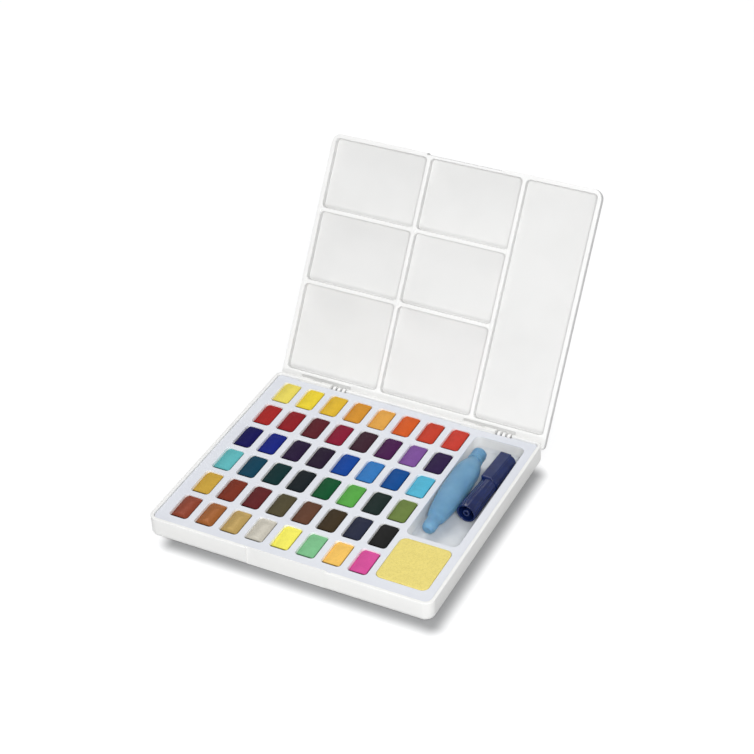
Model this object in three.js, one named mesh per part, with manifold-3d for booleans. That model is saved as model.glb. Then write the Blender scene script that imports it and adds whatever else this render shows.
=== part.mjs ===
// A watercolour paint box: a shallow plastic case with 48 colours, a sponge and a water brush in two pieces,
// under a hinged lid whose inside is a mixing palette. It stands open, the lid leaning back at its stop.
// Millimetres. The origin is the centre of the base's underside: X along the hinge, Y to the back, Z up.

import * as THREE from "three";
import { mergeVertices } from "three/addons/utils/BufferGeometryUtils.js";
import Module from "manifold-3d";

const wasm = await Module();
wasm.setup();

// Base shell
const caseWidth = 180;
const caseDepth = 156;
const caseHeight = 13.2;
const caseWall = 2;
const caseFloor = 1.6;
const frontCornerRadius = 6;
const backCornerRadius = 4.5;
const baseEdgeRadius = 3;

// Colour tray: one moulded insert that drops into the base
const trayDrop = 1; // its top lies this far under the base's rim
const trayPlate = 1.4;
const trayWall = 1;
const trayFloor = 1;
const pocketCornerRadius = 2.2;
const compartmentCornerRadius = 4;
const compartmentFloorRadius = 1.6;

// Paint cakes, in a grid of pockets that fills the case up to the compartments
const cakeColumns = 8;
const cakeRows = 6;
const columnGap = 4.34;
const rowGap = 3.76;
const gridLeftMargin = 9.36; // from the case's outside
const gridRightMargin = 3.86; // from the compartments
const gridFrontMargin = 8.35;
const gridBackMargin = 7.65;
const cakeEdgeDrop = 2.2; // the cake's sides lie this far under the tray's top
const crownRise = 1.4;

// Brush compartment and sponge compartment, along the case's right side
const compartmentWidth = 32;
const compartmentRightMargin = 7.6;
const compartmentFrontMargin = 10.3;
const compartmentBackMargin = 8.5;
const compartmentGap = 3.6;
const spongeDepthShare = 0.23013; // of the case's depth
const spongeEdgeRadius = 1.2;
const spongeRise = 0.3; // its top stands this far over the tray's top

// Lid, its mixing wells and its hinge channels
const lidInset = 0.4; // the lid's sides lie this far inside the base's
const lidDepth = 6.65;
const lidTop = 1.65;
const lidSideWall = 2.5;
const lidFrontWall = 2.7;
const lidOverhang = 3; // behind the hinge's axis
const lidBackCornerRadius = 3;
const lidEdgeRadius = 2.4;
const wellBack = 5.75; // from the hinge's axis to the nearest edge of the wells
const wellCornerRadius = 2.6;
const wellFloorRadius = 1.8;
const ribWidth = 2.2;
const ribDrop = 0.8; // the cross ribs stop this far short of the rim
const ribShares = [-0.2578, 0.4487]; // of the lid's half width, from its middle
const crossRibShares = [0.3961, 0.692]; // of the way from the hinge's axis to the lid's front
const channelWall = 1.7;
const channelDepth = 1.2;

// Hinge: two stations, each with a broad lug on the base and three teeth on the lid
const hingeDrop = 2.95; // the axis lies this far under the base's rim
const hingeSetback = 0.5; // the axis lies this far in from the base's back face
const openAngle = 123; // degrees from closed to the stop
const stationLeftMargin = 16; // from the case's outside to the left station
const stationRightMargin = 20.9;
const lugLength = 22;
const lugGap = 1.4;
const toothWidth = 1.8;
const toothThicknessShare = 0.8; // of the barrel's diameter
const toothPitch = 3.2;
const teeth = 3;
const barrelRadius = 2.4;
const barBack = 0.8; // the lug's bar stands this far out of the base's back face
const barDrop = 0.2;
const slotLength = 6.5;
const slotStart = 8.2;
const slotWidth = 1;
const slotDepth = 1.6;
const pinRadius = 0.9;
const pinGap = 0.06;

// Finger recess and catch on the front
const recessWidth = 50;
const recessTopDepth = 1.3;
const recessFootDepth = 0.6;
const catchGap = 2.2; // from the recess's right end to the catch's middle
const catchLength = 2.4;
const catchWidth = 0.9;
const catchHeight = 0.5;

// Water tank of the brush
const tankLeftGap = 0.95; // from the compartment's left wall
const tankFrontGap = 10.2;
const tankBackGap = 14;
const tankHalfWidth = 7.85;
const tankHalfHeight = 7.4;
const tankTilt = 2; // degrees, the neck up
const neckRadius = 4.2;
const neckLength = 9;
const neckRootShare = 0.3; // of the neck's length, buried in the barrel
const neckBore = 2.4;
const neckBoreDepth = 7;
const threadRadius = 4.55;
const threadPitch = 2.1;
const threadHalfShare = 0.35; // of the pitch
const threads = 3;

// Brush head: grip, cap with its flat clip, and bristles
const brushRightGap = 9.2; // from the compartment's right wall to the grip's axis
const brushBackGap = 11.1;
const brushTurn = 3; // degrees, its back end to the right
const gripRadius = 6.1;
const gripBackRadius = 5.1;
const gripLength = 29.5;
const gripBoreRadius = 4.9;
const gripBoreDepth = 9;
const gripRibs = 14;
const gripRibHeight = 0.35;
const gripRibEnd = 2.2;
const feedRadius = 2.2;
const feedBoreRadius = 1.1;
const feedSetback = 0.3;
const ferruleRadius = 3.2;
const ferruleLength = 7;
const bristleRadius = 1.7;
const bristleLength = 12;
const capLength = 26;
const capRadius = 5.5;
const capWall = 1.1;
const clipReach = 5; // from the cap's axis to the clip's left edge
const clipLap = 1; // from the axis to its right edge
const clipRise = 0.4; // above the top of the cap's tube
const clipDepth = 3;
const clipEdge = 0.5;
const clipCornerRadius = 0.9;

// Fits
const fitGap = 0.3; // sideways, between a piece and what holds it
const seatGap = 0.15; // between a piece and what it rests on
const overrun = 1; // how far a cut runs past a face
const leastRoundShare = 0.1; // of the corner radius, kept where an inset would leave none
const cornerSteps = 5;
const edgeSteps = 3;
const smallSteps = 2; // round a pocket's corner, or over a small rounded edge
const roundSteps = 24;

// Heights and places that follow
const trayTop = caseHeight - trayDrop;
const trayBottom = caseFloor + seatGap;
const compartmentFloor = trayBottom + trayFloor;
const compartmentRight = caseWidth / 2 - compartmentRightMargin;
const compartmentLeft = compartmentRight - compartmentWidth;
const spongeFront = -caseDepth / 2 + compartmentFrontMargin;
const spongeBack = spongeFront + caseDepth * spongeDepthShare;
const brushFront = spongeBack + compartmentGap;
const brushBack = caseDepth / 2 - compartmentBackMargin;
const gridLeft = -caseWidth / 2 + gridLeftMargin;
const gridFront = -caseDepth / 2 + gridFrontMargin;
const columnPitch = (compartmentLeft - gridRightMargin - gridLeft + columnGap) / cakeColumns;
const rowPitch = (caseDepth / 2 - gridBackMargin - gridFront + rowGap) / cakeRows;
const pocketWidth = columnPitch - columnGap;
const pocketDepth = rowPitch - rowGap;
const hingeHeight = caseHeight - hingeDrop;
const hingeY = caseDepth / 2 - hingeSetback;
const lidRim = hingeDrop + seatGap; // over the hinge's axis, with the lid shut
const lidHalfWidth = caseWidth / 2 - lidInset;
const lidFront = hingeY + caseDepth / 2;
const lidUnderside = lidRim + lidDepth - lidTop;
const channelFront = wellBack - channelWall;
const teethStart = lugLength + lugGap; // from the station's left end
const stationLength = teethStart + (teeth - 1) * toothPitch + toothWidth;
const leftStation = -caseWidth / 2 + stationLeftMargin;
const rightStation = caseWidth / 2 - stationRightMargin - stationLength;
const stations = [leftStation, rightStation]; // the left end of each
const catchPlace = recessWidth / 2 + catchGap;
const tankX = compartmentLeft + tankLeftGap + tankHalfWidth;
const tankFront = brushFront + tankFrontGap;
const tankLength = brushBack - tankBackGap - tankFront;
const tankBodyLength = tankLength - neckLength;
const brushX = compartmentRight - brushRightGap;
const gripFront = brushBack - brushBackGap - capLength - gripLength + gripRibEnd / 2;
const brushZ = compartmentFloor + seatGap + gripRadius + gripRibHeight / 2;
const cakeCount = cakeColumns * cakeRows;

// Boolean cuts and joins

function toSolid(geometry) {
  const bare = geometry.clone();
  bare.deleteAttribute("normal");
  bare.deleteAttribute("uv");
  const merged = mergeVertices(bare);
  return new wasm.Manifold(
    new wasm.Mesh({
      numProp: 3,
      vertProperties: merged.attributes.position.array,
      triVerts: new Uint32Array(merged.index.array),
    }),
  );
}

function toGeometry(solid) {
  const mesh = solid.getMesh();
  const geometry = new THREE.BufferGeometry();
  geometry.setAttribute("position", new THREE.BufferAttribute(mesh.vertProperties, mesh.numProp));
  geometry.setIndex(new THREE.BufferAttribute(mesh.triVerts, 1));
  geometry.computeVertexNormals();
  return geometry;
}

function joined(geometries) {
  return geometries.map(toSolid).reduce((whole, piece) => whole.add(piece));
}

function cutFrom(solid, geometries) {
  return geometries.map(toSolid).reduce((whole, piece) => whole.subtract(piece), solid);
}

// Shapes

// A rectangle in plan; its corner radii run front left, front right, back right, back left.
function plan(left, right, front, back, radii) {
  return { left, right, front, back, radii };
}

function evenPlan(left, right, front, back, radius) {
  return plan(left, right, front, back, [radius, radius, radius, radius]);
}

function grown(area, growth) {
  return plan(
    area.left - growth,
    area.right + growth,
    area.front - growth,
    area.back + growth,
    area.radii.map((radius) => radius + growth),
  );
}

// The plan's outline at one height, drawn in by inset, anticlockwise seen from above.
function ring(area, inset, height, steps) {
  const points = [];
  area.radii.forEach((radius, corner) => {
    const round = Math.max(radius - inset, radius * leastRoundShare);
    const onRight = corner === 1 || corner === 2;
    const atBack = corner > 1;
    const x = onRight ? area.right - inset - round : area.left + inset + round;
    const y = atBack ? area.back - inset - round : area.front + inset + round;
    for (let step = 0; step <= steps; step += 1) {
      const angle = ((corner + 2 + step / steps) * Math.PI) / 2;
      points.push(new THREE.Vector3(x + round * Math.cos(angle), y + round * Math.sin(angle), height));
    }
  });
  return points;
}

// A closed solid through a stack of outlines with equal counts of points, each with a flat end.
function loft(rings) {
  const count = rings[0].length;
  const index = [];
  rings.slice(1).forEach((_, level) => {
    for (let i = 0; i < count; i += 1) {
      const a = level * count + i;
      const b = level * count + ((i + 1) % count);
      index.push(a, b, b + count, a, b + count, a + count);
    }
  });
  const last = (rings.length - 1) * count;
  for (let i = 1; i < count - 1; i += 1) {
    index.push(0, i + 1, i);
    index.push(last, last + i, last + i + 1);
  }
  const geometry = new THREE.BufferGeometry().setFromPoints(rings.flat());
  geometry.setIndex(index);
  return geometry;
}

// A block over a plan. Its bottom and top edges can be rounded: run is across, rise is up.
function block(area, bottom, top, { foot, crown, corners = cornerSteps, edges = edgeSteps } = {}) {
  const turns = Array.from({ length: edges + 1 }, (_, step) => (step / edges) * (Math.PI / 2));
  const lower = !foot
    ? [ring(area, 0, bottom, corners)]
    : turns.map((turn) => {
        const inset = foot.run * (1 - Math.sin(turn));
        return ring(area, inset, bottom + foot.rise * (1 - Math.cos(turn)), corners);
      });
  const upper = !crown
    ? [ring(area, 0, top, corners)]
    : turns.map((turn) => {
        const inset = crown.run * (1 - Math.cos(turn));
        return ring(area, inset, top - crown.rise * (1 - Math.sin(turn)), corners);
      });
  return loft([...lower, ...upper]);
}

function roundEdge(radius) {
  return { run: radius, rise: radius };
}

function box(left, right, front, back, bottom, top) {
  const geometry = new THREE.BoxGeometry(right - left, back - front, top - bottom);
  return geometry.translate((left + right) / 2, (front + back) / 2, (bottom + top) / 2);
}

// A round bar along X.
function barX(radius, left, right, y, z) {
  const geometry = new THREE.CylinderGeometry(radius, radius, right - left, roundSteps);
  return geometry.rotateZ(Math.PI / 2).translate((left + right) / 2, y, z);
}

// A turned shape along Y, from a profile of [radius, distance] pairs that starts and ends on its axis.
function turned(profile) {
  const points = profile.map(([radius, distance]) => new THREE.Vector2(radius, distance));
  return new THREE.LatheGeometry(points, roundSteps);
}

function rod(radius, start, end) {
  return turned([
    [0, start],
    [radius, start],
    [radius, end],
    [0, end],
  ]);
}

function piece(name, shape, material) {
  const mesh = new THREE.Mesh(shape.isBufferGeometry ? shape : toGeometry(shape), material);
  mesh.name = name;
  return mesh;
}

function material(color, roughness, extra = {}) {
  return new THREE.MeshStandardMaterial({ color, roughness, metalness: 0, ...extra });
}

const whitePlastic = material(0xf3f3f1, 0.35);
const trayPlastic = material(0xdcdee6, 0.45);
const steel = material(0xb8babd, 0.3, { metalness: 1 });
const spongeFoam = material(0xe9dc86, 0.95);
const tankPlastic = material(0x6fb2dc, 0.15, { transparent: true, opacity: 0.75 });
const navyPlastic = material(0x1c2a63, 0.2);
const bristleNylon = material(0xe8e2d2, 0.6);

// Base shell

// The wedge that the finger recess takes from a front face, deepest at the rim and shallow at the foot.
function recessWedge(rim, foot) {
  const outside = -overrun;
  const profile = new THREE.Shape([
    new THREE.Vector2(outside, foot),
    new THREE.Vector2(recessFootDepth, foot),
    new THREE.Vector2(recessTopDepth, rim),
    new THREE.Vector2(outside, rim),
  ]);
  const geometry = new THREE.ExtrudeGeometry(profile, { depth: recessWidth, bevelEnabled: false });
  // The profile's first axis turns to Y, its second to Z, and the extrusion to X.
  return geometry.rotateX(Math.PI / 2).rotateZ(Math.PI / 2).translate(-recessWidth / 2, 0, 0);
}

function hingeLug(start) {
  const end = start + lugLength;
  const front = caseDepth / 2 - caseWall;
  const back = caseDepth / 2 + barBack;
  return [
    barX(barrelRadius, start, end, hingeY, hingeHeight),
    box(start, end, front, back, hingeHeight, caseHeight - barDrop),
  ];
}

// What a hinge station takes from the base: room for the lid's teeth, the lug's slot and the pin's hole.
function hingeCuts(start) {
  const teethFoot = hingeHeight - barrelRadius - fitGap;
  const left = start + lugLength;
  const right = start + stationLength + lugGap;
  const inside = caseDepth / 2 - caseWall - overrun;
  const above = caseHeight + overrun;
  const slotLeft = start + slotStart;
  const slotBack = caseDepth / 2 + barBack / 2;
  const slotFoot = caseHeight - barDrop - slotDepth;
  return [
    box(left, right, inside, caseDepth / 2 + overrun, teethFoot, above),
    box(slotLeft, slotLeft + slotLength, slotBack - slotWidth, slotBack, slotFoot, above),
    barX(pinRadius + pinGap, start - overrun, left + overrun, hingeY, hingeHeight),
  ];
}

function catchDimple() {
  const inner = -caseDepth / 2 + caseWall;
  const half = catchLength / 2 + fitGap;
  const foot = caseHeight - catchHeight - fitGap;
  const above = caseHeight + overrun;
  return box(catchPlace - half, catchPlace + half, inner - catchWidth, inner + overrun, foot, above);
}

function baseShell() {
  const radii = [frontCornerRadius, frontCornerRadius, backCornerRadius, backCornerRadius];
  const outer = plan(-caseWidth / 2, caseWidth / 2, -caseDepth / 2, caseDepth / 2, radii);
  const shell = block(outer, 0, caseHeight, { foot: roundEdge(baseEdgeRadius) });
  const hollow = block(grown(outer, -caseWall), caseFloor, caseHeight + overrun, {
    foot: roundEdge(baseEdgeRadius - caseWall),
    edges: smallSteps,
  });
  const recess = recessWedge(caseHeight + overrun, -overrun).translate(0, -caseDepth / 2, 0);
  const lugs = stations.flatMap(hingeLug).map(toSolid);
  const lugged = lugs.reduce((whole, lug) => whole.add(lug), cutFrom(toSolid(shell), [hollow]));
  const cuts = [...stations.flatMap(hingeCuts), recess, catchDimple()];
  return piece("base_shell", cutFrom(lugged, cuts), whitePlastic);
}

// Colour tray

function cakePlaces() {
  return Array.from({ length: cakeCount }, (_, index) => {
    const row = Math.floor(index / cakeColumns);
    const column = index % cakeColumns;
    return {
      name: `paint_r${row + 1}c${column + 1}`,
      index,
      left: gridLeft + column * columnPitch,
      front: gridFront + (cakeRows - 1 - row) * rowPitch,
    };
  });
}

function pocketPlan({ left, front }) {
  return evenPlan(left, left + pocketWidth, front, front + pocketDepth, pocketCornerRadius);
}

function compartmentPlan(front, back) {
  return evenPlan(compartmentLeft, compartmentRight, front, back, compartmentCornerRadius);
}

function colourTray() {
  const inset = caseWall + fitGap;
  const halfWidth = caseWidth / 2 - inset;
  const halfDepth = caseDepth / 2 - inset;
  const frontRadius = frontCornerRadius - inset;
  const backRadius = backCornerRadius - inset;
  const radii = [frontRadius, frontRadius, backRadius, backRadius];
  const plate = plan(-halfWidth, halfWidth, -halfDepth, halfDepth, radii);
  const pockets = cakePlaces().map(pocketPlan);
  const compartments = [compartmentPlan(brushFront, brushBack), compartmentPlan(spongeFront, spongeBack)];
  const midPlate = trayTop - trayPlate / 2;
  const bodies = [
    block(plate, trayTop - trayPlate, trayTop),
    ...pockets.map((area) => block(grown(area, trayWall), trayBottom, midPlate, { corners: 1 })),
    ...compartments.map((area) =>
      block(grown(area, trayWall), trayBottom, midPlate, { corners: smallSteps }),
    ),
  ];
  const above = trayTop + overrun;
  const notchFront = hingeY - barrelRadius - fitGap;
  const notches = stations.map((start) =>
    box(start - fitGap, start + stationLength + lugGap, notchFront, caseDepth / 2, trayBottom, above),
  );
  const compartmentEdge = { foot: roundEdge(compartmentFloorRadius), edges: smallSteps };
  const hollows = [
    ...pockets.map((area) => block(area, compartmentFloor, above, { corners: smallSteps })),
    ...compartments.map((area) => block(area, compartmentFloor, above, compartmentEdge)),
  ];
  return piece("colour_tray", cutFrom(joined(bodies), [...hollows, ...notches]), trayPlastic);
}

// Paint cakes

const paints = {
  lemon: "#f0de3c",
  sunYellow: "#f2cf1e",
  maize: "#e3a51a",
  indianYellow: "#d6860f",
  apricot: "#e29a2c",
  orange: "#d2521f",
  scarlet: "#b9301c",
  vermilion: "#c02a24",
  carmine: "#9c2420",
  crimson: "#7c1c22",
  madder: "#4a1a22",
  alizarin: "#7c1a34",
  plum: "#33202c",
  aubergine: "#3a1c40",
  lilac: "#6f3f92",
  violet: "#221c40",
  indigo: "#1d1a4c",
  ultramarine: "#18228a",
  midnight: "#261f36",
  ink: "#24202c",
  cobalt: "#163c90",
  azure: "#2668b0",
  phthaloBlue: "#16508a",
  skyBlue: "#34a3c2",
  turquoise: "#3fae96",
  petrol: "#163442",
  pine: "#16282c",
  blackGreen: "#1b2022",
  viridian: "#12382a",
  leafGreen: "#3a9a48",
  mossBlack: "#1c2622",
  olive: "#5f7424",
  ochre: "#c08f24",
  sienna: "#6a2419",
  redBrown: "#4c2018",
  umber: "#443e26",
  walnut: "#59331e",
  sepia: "#352a20",
  slate: "#282832",
  black: "#1d1e1f",
  copper: "#93421f",
  bronze: "#a0602a",
  gold: "#c09a52",
  pearl: "#cfc6b2",
  neonYellow: "#f0e61e",
  neonGreen: "#3fae6a",
  neonOrange: "#f09f1c",
  neonPink: "#cf2f86",
};
const metallicPaints = ["copper", "bronze", "gold", "pearl"];

// The palette is laid out in its own order: along each row from the left, and the rows from the back.
function paintMaterial(index) {
  const name = Object.keys(paints)[index];
  const metallic = metallicPaints.includes(name);
  return material(paints[name], metallic ? 0.4 : 0.6, { metalness: metallic ? 0.6 : 0 });
}

// Shares of a cake's half width from its middle, and of its crown's rise there.
const crownStationShares = [
  [0, 1],
  [0.4, 0.92],
  [0.65, 0.68],
  [0.82, 0.4],
  [0.93, 0.17],
  [1, 0],
];

// A bar along Y over a plan, its top arched from side to side.
function archedBar({ left, right, front, back }, bottom, side, rise) {
  const middle = (left + right) / 2;
  const station = (hand) => ([widthShare, riseShare]) =>
    new THREE.Vector2(middle + (hand * widthShare * (right - left)) / 2, side + riseShare * rise);
  const profile = new THREE.Shape([
    new THREE.Vector2(left, bottom),
    new THREE.Vector2(right, bottom),
    ...crownStationShares.toReversed().map(station(1)),
    ...crownStationShares.slice(1).map(station(-1)),
  ]);
  const geometry = new THREE.ExtrudeGeometry(profile, { depth: back - front, bevelEnabled: false });
  // The profile's second axis turns to Z, and the extrusion runs to the front.
  return geometry.rotateX(Math.PI / 2).translate(0, back, 0);
}

function paintCake(place) {
  const area = grown(pocketPlan(place), -fitGap);
  const foot = compartmentFloor + seatGap;
  const side = trayTop - cakeEdgeDrop;
  const bar = toSolid(archedBar(area, foot, side, crownRise));
  const filled = toSolid(block(area, foot - overrun, trayTop, { corners: smallSteps })).intersect(bar);
  return piece(place.name, filled, paintMaterial(place.index));
}

// Sponge

function sponge() {
  const area = grown(compartmentPlan(spongeFront, spongeBack), -fitGap);
  const shape = block(area, compartmentFloor + seatGap, trayTop + spongeRise, {
    foot: roundEdge(compartmentFloorRadius),
    crown: roundEdge(spongeEdgeRadius),
    corners: smallSteps,
    edges: smallSteps,
  });
  return piece("sponge", shape, spongeFoam);
}

// Water tank: an oval squeeze barrel with a closed tail in front and a threaded neck at the back

// Shares of the barrel's length from its tail, and of its greatest half width.
const tankStationShares = [
  [0, 0.24],
  [0.007, 0.38],
  [0.022, 0.47],
  [0.045, 0.52],
  [0.145, 0.54],
  [0.18, 0.67],
  [0.22, 0.75],
  [0.32, 0.86],
  [0.41, 0.94],
  [0.52, 0.99],
  [0.65, 1],
  [0.79, 0.98],
  [0.87, 0.92],
  [0.94, 0.76],
  [0.98, 0.61],
];

// How far the tilted tank reaches below its tail's middle.
function tankReach(tilt) {
  const reaches = tankStationShares.map(([lengthShare, widthShare]) => {
    const up = lengthShare * tankBodyLength * Math.sin(tilt);
    return widthShare * tankHalfHeight * Math.cos(tilt) - up;
  });
  return Math.max(...reaches);
}

function threadRing(turn) {
  const middle = tankLength - (turn + 1) * threadPitch;
  const half = threadPitch * threadHalfShare;
  const root = neckRadius - pinGap;
  return turned([
    [0, middle - half],
    [root, middle - half],
    [threadRadius, middle],
    [root, middle + half],
    [0, middle + half],
  ]);
}

function waterTank() {
  const flanks = tankStationShares.map(([lengthShare, widthShare]) => [
    widthShare,
    lengthShare * tankBodyLength,
  ]);
  const shoulder = neckRadius / tankHalfWidth;
  const barrel = turned([[0, 0], ...flanks, [shoulder, tankBodyLength], [0, tankBodyLength]]);
  barrel.scale(tankHalfWidth, 1, tankHalfHeight);
  const neck = rod(neckRadius, tankBodyLength - neckLength * neckRootShare, tankLength);
  const rings = Array.from({ length: threads }, (_, turn) => threadRing(turn));
  const bore = rod(neckBore, tankLength - neckBoreDepth, tankLength + overrun);
  const tank = piece("water_tank", cutFrom(joined([barrel, neck, ...rings]), [bore]), tankPlastic);
  const tilt = THREE.MathUtils.degToRad(tankTilt);
  tank.rotation.x = tilt;
  tank.position.set(tankX, tankFront, compartmentFloor + seatGap + tankReach(tilt));
  return tank;
}

// Brush head, along Y from the grip's open front end

function ribbedOutline(radius, height, ribs) {
  const perRib = 4;
  const points = Array.from({ length: ribs * perRib }, (_, index) => {
    const angle = (index / (ribs * perRib)) * 2 * Math.PI;
    const raised = index % perRib < perRib / 2;
    const reach = radius + (raised ? height / 2 : -height / 2);
    return new THREE.Vector2(reach * Math.cos(angle), reach * Math.sin(angle));
  });
  return new THREE.Shape(points);
}

// Draws a shape along Y in towards its back, to backShare of its width at length.
function tapered(geometry, length, backShare) {
  const spots = geometry.attributes.position;
  for (let index = 0; index < spots.count; index++) {
    const share = 1 - (1 - backShare) * (spots.getY(index) / length);
    spots.setX(index, spots.getX(index) * share);
    spots.setZ(index, spots.getZ(index) * share);
  }
  return geometry;
}

function brushGrip() {
  const ribLength = gripLength - 2 * gripRibEnd;
  const outline = ribbedOutline(gripRadius, gripRibHeight, gripRibs);
  const ribbed = new THREE.ExtrudeGeometry(outline, { depth: ribLength, bevelEnabled: false });
  // The extrusion turns from Z to Y.
  ribbed.rotateX(-Math.PI / 2).translate(0, gripRibEnd, 0);
  tapered(ribbed, gripLength, gripBackRadius / gripRadius);
  const inner = gripRadius - gripRibHeight / 2;
  const tip = gripLength + ferruleLength;
  const body = turned([
    [0, 0],
    [inner, 0],
    [gripBackRadius - gripRibHeight / 2, gripLength - gripRibEnd],
    [ferruleRadius, gripLength],
    [ferruleRadius, tip],
    [0, tip],
  ]);
  const bore = rod(gripBoreRadius, -overrun, gripBoreDepth);
  const feed = rod(feedRadius, feedSetback, gripBoreDepth + overrun);
  const feedBore = rod(feedBoreRadius, -overrun, gripLength);
  const socket = rod(bristleRadius + fitGap, tip - ferruleLength / 2, tip + overrun);
  const hollowed = cutFrom(joined([ribbed, body]), [bore]).add(toSolid(feed));
  return piece("brush_grip", cutFrom(hollowed, [feedBore, socket]), navyPlastic);
}

// Shares of the free length from the ferrule's end, and of the tuft's radius there.
const bristleStationShares = [
  [0, 1],
  [0.4, 1.15],
  [0.8, 0.7],
];

function brushBristles() {
  const end = gripLength + ferruleLength;
  const root = end - ferruleLength / 2 + seatGap;
  const flanks = bristleStationShares.map(([lengthShare, widthShare]) => [
    widthShare * bristleRadius,
    end + lengthShare * bristleLength,
  ]);
  const shape = turned([[0, root], [bristleRadius, root], ...flanks, [0, end + bristleLength]]);
  return piece("brush_bristles", shape, bristleNylon);
}

function brushCap() {
  const front = gripLength - gripRibEnd / 2;
  const back = front + capLength;
  const boreRadius = capRadius - capWall;
  const tube = turned([
    [0, front],
    [capRadius, front],
    [capRadius, back - capWall],
    [boreRadius, back],
    [0, back],
  ]);
  const clipTop = capRadius + clipRise;
  const area = evenPlan(-clipReach, clipLap, front, back, clipCornerRadius);
  const clip = block(area, clipTop - clipDepth, clipTop, { crown: roundEdge(clipEdge), edges: smallSteps });
  const bore = rod(boreRadius, front - overrun, back - capWall);
  return piece("brush_cap", cutFrom(joined([tube, clip]), [bore]), navyPlastic);
}

// Lid, in a group whose origin is the hinge's axis; it is drawn shut and turned open as one

// The wells of one column: a single long one, or three between cross ribs that stop short of the rim.
function columnWells(left, right, crossed) {
  const front = -(lidFront - lidFrontWall);
  const below = lidRim - overrun;
  const floor = { crown: roundEdge(wellFloorRadius), corners: smallSteps, edges: smallSteps };
  const whole = evenPlan(left, right, front, -wellBack, wellCornerRadius);
  if (!crossed) return [block(whole, below, lidUnderside, floor)];
  const sides = crossRibShares.flatMap((share) => {
    const place = -share * lidFront;
    return [place + ribWidth / 2, place - ribWidth / 2];
  });
  const ends = [-wellBack, ...sides, front];
  const wells = Array.from({ length: crossRibShares.length + 1 }, (_, well) => {
    const area = evenPlan(left, right, ends[2 * well + 1], ends[2 * well], wellCornerRadius);
    return block(area, below, lidUnderside, floor);
  });
  return [...wells, block(whole, below, lidRim + ribDrop, { corners: smallSteps })];
}

function lidWells() {
  const edges = ribShares.flatMap((share) => {
    const place = share * lidHalfWidth;
    return [place - ribWidth / 2, place + ribWidth / 2];
  });
  const sides = [-lidHalfWidth + lidSideWall, ...edges, lidHalfWidth - lidSideWall];
  const columns = ribShares.length + 1;
  return Array.from({ length: columns }, (_, column) =>
    columnWells(sides[2 * column], sides[2 * column + 1], column < columns - 1),
  ).flat();
}

function lidTooth(start) {
  const end = start + toothWidth;
  const half = barrelRadius * toothThicknessShare;
  return [
    barX(barrelRadius, start, end, 0, 0),
    box(start, end, -half, half, 0, lidRim + channelDepth + lidTop / 2),
  ];
}

function lidTeeth() {
  const starts = stations.flatMap((start) =>
    Array.from({ length: teeth }, (_, tooth) => start + teethStart + tooth * toothPitch),
  );
  return starts.flatMap(lidTooth).map(toSolid);
}

function catchPip() {
  const inner = -lidFront + caseWall;
  const half = catchLength / 2;
  const front = inner - catchWidth + fitGap;
  return box(catchPlace - half, catchPlace + half, front, inner, lidRim - catchHeight, lidRim + catchHeight);
}

function lidShell() {
  const radii = [frontCornerRadius, frontCornerRadius, lidBackCornerRadius, lidBackCornerRadius];
  const outer = plan(-lidHalfWidth, lidHalfWidth, -lidFront, lidOverhang, radii);
  const shell = block(outer, lidRim, lidRim + lidDepth, { crown: roundEdge(lidEdgeRadius) });
  const channelBack = lidOverhang - channelWall;
  const channelTop = lidRim + channelDepth;
  const channels = stations.map((start) => {
    const end = start + stationLength + lugGap;
    return box(start - lugGap, end, -channelFront, channelBack, lidRim - overrun, channelTop);
  });
  const recess = recessWedge(lidRim - overrun, lidRim + lidDepth + overrun).translate(0, -lidFront, 0);
  const hollowed = cutFrom(toSolid(shell), [...lidWells(), ...channels]);
  const toothed = lidTeeth().reduce((whole, tooth) => whole.add(tooth), hollowed);
  const pinHoles = stations.map((start) =>
    barX(pinRadius + pinGap, start + lugLength, start + stationLength + overrun, 0, 0),
  );
  const whole = cutFrom(toothed, pinHoles).add(toSolid(catchPip()));
  return piece("lid_shell", cutFrom(whole, [recess]), whitePlastic);
}

function hingePin(name, start) {
  const left = start + seatGap;
  const right = start + stationLength - seatGap;
  return piece(name, barX(pinRadius, left, right, hingeY, hingeHeight), steel);
}

// Assembly

const lidGroup = new THREE.Group();
lidGroup.add(lidShell());
lidGroup.position.set(0, hingeY, hingeHeight);
lidGroup.rotation.x = -THREE.MathUtils.degToRad(openAngle);

const brushGroup = new THREE.Group();
brushGroup.add(brushGrip(), brushBristles(), brushCap());
brushGroup.position.set(brushX, gripFront, brushZ);
brushGroup.rotation.z = -THREE.MathUtils.degToRad(brushTurn);

const paintBox = new THREE.Group();
paintBox.add(baseShell(), colourTray());
paintBox.add(...cakePlaces().map(paintCake));
paintBox.add(sponge(), waterTank(), brushGroup);
paintBox.add(hingePin("hinge_pin_left", leftStation), hingePin("hinge_pin_right", rightStation));
paintBox.add(lidGroup);

export default paintBox;
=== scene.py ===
"""A watercolour paint box over its CAD frame: case, palette lid, tray, cakes, sponge and water brush."""

import math

import bmesh
import bpy
from mathutils import Euler, Matrix, Vector, noise


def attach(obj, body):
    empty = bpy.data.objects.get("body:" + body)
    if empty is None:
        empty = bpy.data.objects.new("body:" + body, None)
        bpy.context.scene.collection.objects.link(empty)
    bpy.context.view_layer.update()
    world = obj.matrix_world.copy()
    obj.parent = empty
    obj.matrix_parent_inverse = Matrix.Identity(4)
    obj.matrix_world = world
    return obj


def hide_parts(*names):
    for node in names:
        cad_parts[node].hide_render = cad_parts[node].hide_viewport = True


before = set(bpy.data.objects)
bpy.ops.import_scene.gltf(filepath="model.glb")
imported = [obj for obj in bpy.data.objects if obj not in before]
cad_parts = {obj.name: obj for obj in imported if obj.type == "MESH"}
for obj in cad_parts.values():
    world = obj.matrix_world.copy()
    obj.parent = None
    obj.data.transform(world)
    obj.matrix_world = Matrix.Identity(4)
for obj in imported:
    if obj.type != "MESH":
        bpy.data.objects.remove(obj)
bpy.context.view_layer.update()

# Sizes in millimetres, in the CAD's frame

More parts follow.
